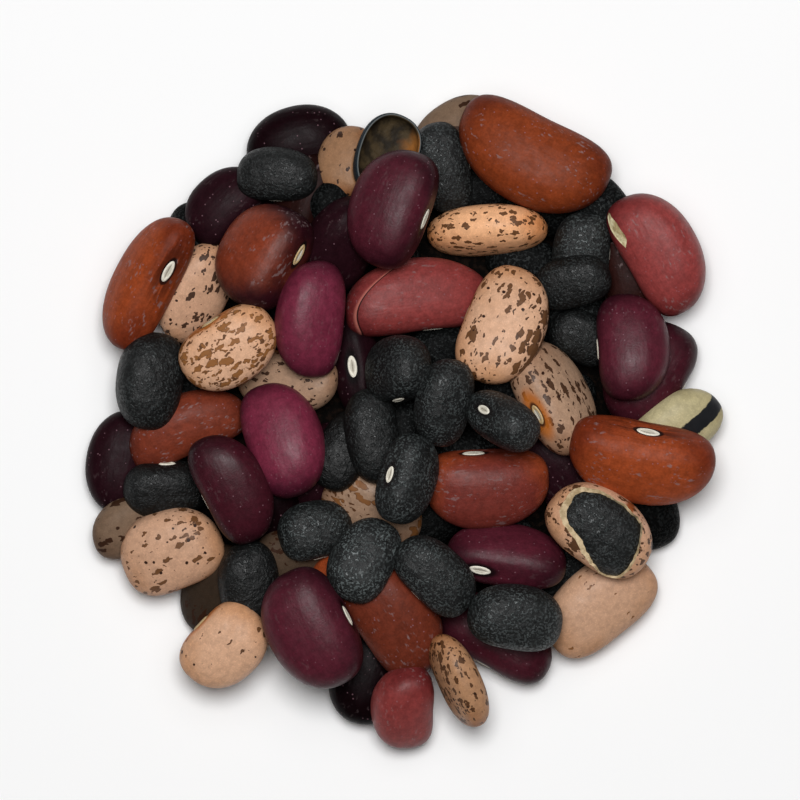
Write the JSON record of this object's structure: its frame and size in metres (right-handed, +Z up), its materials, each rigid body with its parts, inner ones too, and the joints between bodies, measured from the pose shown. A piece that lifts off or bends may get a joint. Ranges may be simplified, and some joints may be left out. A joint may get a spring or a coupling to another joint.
{
  "type": "heap of mixed dried beans",
  "caption": "Low loose heap of mixed dried beans, black, kidney and pinto, lying on each other as a round pile with an uneven edge.",
  "frame": {"origin": "centre of the heap on the surface it lies on", "axes": "+Z up, through the heap; +Y towards the top of the view from above, +X to its right"},
  "size_m": [0.0772, 0.0791, 0.0196],
  "materials": {
    "mixed_beans": "satin seed coats of mixed colours",
    "black_bean": "matte charcoal seed coat with a fine pale grain",
    "dark_red_bean": "satin dark maroon seed coat",
    "crimson_bean": "satin crimson seed coat",
    "brick_bean": "satin brick-red seed coat",
    "orange_bean": "satin rust-orange seed coat with small grey scuffs",
    "pinto_bean": "satin beige seed coat with brown streaks and dots",
    "bean_eye": "matte chalky white",
    "husk": "papery broken seed coat"
  },
  "bodies": {
    "root": {"bean_heap": "mixed_beans"}
  },
  "joints": []
}
